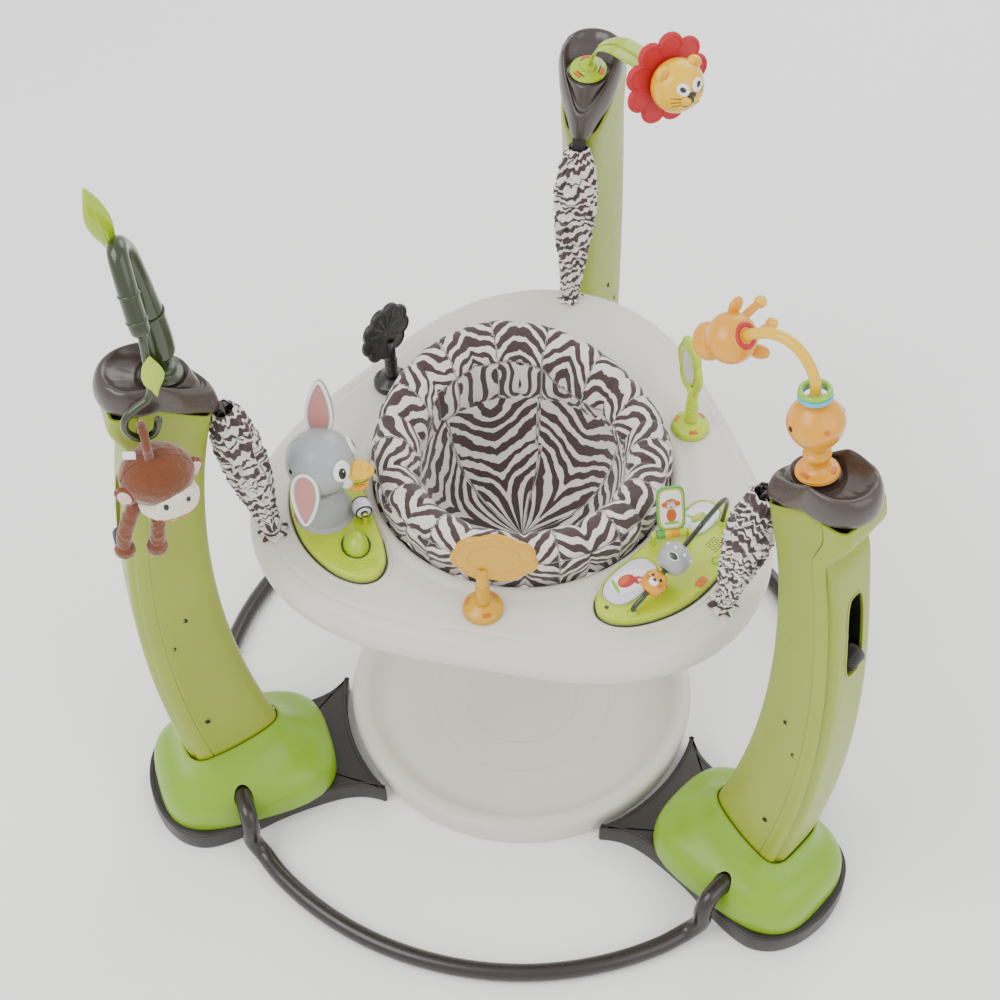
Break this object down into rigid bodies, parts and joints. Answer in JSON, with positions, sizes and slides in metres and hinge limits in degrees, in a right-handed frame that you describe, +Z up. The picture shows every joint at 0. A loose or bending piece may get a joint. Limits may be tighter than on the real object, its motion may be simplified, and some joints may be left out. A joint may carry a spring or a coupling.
{
  "type": "activity jumper",
  "caption": "Baby activity jumper: a padded swivel seat in a toy tray, hung on springs between curved towers over a round foot pad.",
  "frame": {"origin": "centre of the foot pad's underside, on the floor", "axes": "+Z up, +Y from the centre to the back tower, +X towards the side with the picture board"},
  "size_m": [0.9284, 0.9445, 1.0493],
  "materials": {
    "green_plastic": "satin moulded, light green",
    "dark_plastic": "satin dark brown",
    "webbing": "woven webbing",
    "zebra_fabric": "printed cotton with dark stripes",
    "spring_steel": "bright wire",
    "cream_plastic": "satin moulded, warm white",
    "lime_plastic": "satin moulded, lime",
    "grey_plastic": "satin moulded",
    "yellow_plastic": "glossy moulded",
    "orange_plastic": "glossy moulded",
    "black_plastic": "glossy moulded",
    "white_plastic": "translucent white",
    "page_plastic": "printed page in a green and yellow frame",
    "blue_plastic": "glossy moulded",
    "red_plastic": "soft matt",
    "dark_green_plastic": "glossy moulded",
    "plush": "short pile"
  },
  "bodies": {
    "stand": {"foot_pad": "cream_plastic", "base_plate_back": "dark_plastic", "base_plate_left": "dark_plastic", "base_plate_right": "dark_plastic", "base_tube_front": "dark_plastic", "base_tube_left": "dark_plastic", "base_tube_right": "dark_plastic", "foot_cover_back": "green_plastic", "foot_cover_left": "green_plastic", "foot_cover_right": "green_plastic", "tower_inner_back": "green_plastic", "tower_inner_left": "green_plastic", "tower_inner_right": "green_plastic", "tower_outer_back": "green_plastic", "tower_outer_left": "green_plastic", "tower_outer_right": "green_plastic", "tower_cap_back": "dark_plastic", "tower_cap_left": "dark_plastic", "tower_cap_right": "dark_plastic", "spring_sleeve_back": "zebra_fabric", "spring_sleeve_left": "zebra_fabric", "spring_sleeve_right": "zebra_fabric", "tension_spring_back": "spring_steel", "tension_spring_left": "spring_steel", "tension_spring_right": "spring_steel", "giraffe_base": "orange_plastic", "giraffe_stalk": "yellow_plastic", "lion_base": "lime_plastic", "lion_leaf_stalk": "lime_plastic", "vine_post": "dark_green_plastic"},
    "tray_assembly": {"tray": "cream_plastic", "elephant_station": "lime_plastic", "board_housing": "lime_plastic", "spinner_base": "yellow_plastic", "black_toy_base": "black_plastic", "mirror_base": "lime_plastic"},
    "seat": {"seat_ring": "cream_plastic", "seat_fabric": "zebra_fabric"},
    "adjuster_back": {"strap_adjuster_back": "webbing"},
    "adjuster_left": {"strap_adjuster_left": "webbing"},
    "adjuster_right": {"strap_adjuster_right": "webbing"},
    "elephant": {"elephant_head": "grey_plastic"},
    "roller": {"elephant_roller": "grey_plastic"},
    "lever": {"elephant_lever": "lime_plastic"},
    "spinner": {"spinner_panel": "yellow_plastic"},
    "black_toy": {"black_toy_panel": "black_plastic"},
    "mirror_toy": {"mirror_panel": "lime_plastic"},
    "button_inner": {"light_button_inner": "white_plastic"},
    "button_outer": {"light_button_outer": "white_plastic"},
    "button_mode": {"mode_button": "lime_plastic"},
    "page": {"flip_page": "page_plastic"},
    "tiger": {"bead_tiger": "orange_plastic"},
    "grey_bead": {"bead_grey": "grey_plastic"},
    "neck_rings": {"giraffe_rings": "blue_plastic"},
    "giraffe": {"giraffe_head": "orange_plastic"},
    "lion": {"lion_mane": "red_plastic", "lion_head": "yellow_plastic"},
    "hook": {"hook_ring": "dark_green_plastic"},
    "monkey": {"plush_monkey": "plush"}
  },
  "joints": [
    {"name": "tray_bounce", "type": "slide", "parent": "stand", "child": "tray_assembly", "axis": [0, 0, 1], "range_m": [-0.05, 0.05], "stiffness_N_per_m": 1500, "springref_m": 0.0255, "deforming": ["spring_sleeve_back", "spring_sleeve_left", "spring_sleeve_right", "tension_spring_back", "tension_spring_left", "tension_spring_right"]},
    {"name": "seat_swivel", "type": "hinge", "parent": "tray_assembly", "child": "seat", "pos_m": [0, 0, 0.46], "axis": [0, 0, 1], "continuous": true},
    {"name": "strap_adjust_back", "type": "slide", "parent": "stand", "child": "adjuster_back", "axis": [0, -0.114, 0.9935], "range_m": [0, 0.07]},
    {"name": "strap_adjust_left", "type": "slide", "parent": "stand", "child": "adjuster_left", "axis": [0.0987, 0.057, 0.9935], "range_m": [0, 0.07]},
    {"name": "strap_adjust_right", "type": "slide", "parent": "stand", "child": "adjuster_right", "axis": [-0.0987, 0.057, 0.9935], "range_m": [0, 0.07]},
    {"name": "elephant_turn", "type": "hinge", "parent": "tray_assembly", "child": "elephant", "pos_m": [-0.21174, -0.12225, 0.545], "axis": [0, 0, 1], "range_deg": [-35, 35]},
    {"name": "roller_spin", "type": "hinge", "parent": "tray_assembly", "child": "roller", "pos_m": [-0.16642, -0.11975, 0.5115], "axis": [0.5, -0.866, 0], "continuous": true},
    {"name": "lever_press", "type": "slide", "parent": "tray_assembly", "child": "lever", "axis": [0, 0, 1], "range_m": [-0.003, 0], "stiffness_N_per_m": 300},
    {"name": "spinner_turn", "type": "hinge", "parent": "tray_assembly", "child": "spinner", "pos_m": [0, -0.218, 0.51], "axis": [0, 0, 1], "range_deg": [-35, 35]},
    {"name": "black_toy_turn", "type": "hinge", "parent": "tray_assembly", "child": "black_toy", "pos_m": [-0.18879, 0.109, 0.51], "axis": [0, 0, 1], "range_deg": [-35, 35]},
    {"name": "mirror_turn", "type": "hinge", "parent": "tray_assembly", "child": "mirror_toy", "pos_m": [0.18879, 0.109, 0.51], "axis": [0, 0, 1], "range_deg": [-35, 35]},
    {"name": "button_inner_press", "type": "slide", "parent": "tray_assembly", "child": "button_inner", "axis": [0, 0, 1], "range_m": [-0.002, 0], "stiffness_N_per_m": 400},
    {"name": "button_outer_press", "type": "slide", "parent": "tray_assembly", "child": "button_outer", "axis": [0, 0, 1], "range_m": [-0.002, 0], "stiffness_N_per_m": 400},
    {"name": "mode_press", "type": "slide", "parent": "tray_assembly", "child": "button_mode", "axis": [0, 0, 1], "range_m": [-0.0015, 0], "stiffness_N_per_m": 200},
    {"name": "page_flip", "type": "hinge", "parent": "tray_assembly", "child": "page", "pos_m": [0.19503, -0.085, 0.5115], "axis": [0.9323, 0.3616, 0], "range_deg": [-25, 40]},
    {"name": "tiger_spin", "type": "hinge", "parent": "tray_assembly", "child": "tiger", "pos_m": [0.18817, -0.17007, 0.5216], "axis": [0.4812, 0.789, 0.382], "continuous": true},
    {"name": "grey_bead_spin", "type": "hinge", "parent": "tray_assembly", "child": "grey_bead", "pos_m": [0.20551, -0.14165, 0.53536], "axis": [0.4812, 0.789, 0.382], "continuous": true},
    {"name": "neck_rings_spin", "type": "hinge", "parent": "stand", "child": "neck_rings", "pos_m": [0.33351, -0.19255, 0.88417], "axis": [-0.1355, 0.0782, 0.9877], "continuous": true},
    {"name": "giraffe_turn", "type": "hinge", "parent": "stand", "child": "giraffe", "pos_m": [0.25851, -0.14925, 0.9065], "axis": [-0.6669, 0.385, -0.638], "range_deg": [-60, 60]},
    {"name": "lion_spin", "type": "hinge", "parent": "stand", "child": "lion", "pos_m": [0.105, 0.335, 0.835], "axis": [0.6827, -0.7121, 0.1636], "continuous": true},
    {"name": "hook_swing", "type": "hinge", "parent": "stand", "child": "hook", "pos_m": [-0.32623, -0.27495, 0.9065], "axis": [0.5, -0.866, 0], "range_deg": [-12, 12]},
    {"name": "monkey_swing", "type": "hinge", "parent": "hook", "child": "monkey", "pos_m": [-0.33682, -0.29261, 0.7785], "axis": [0.5, -0.866, 0], "range_deg": [-15, 10]}
  ]
}
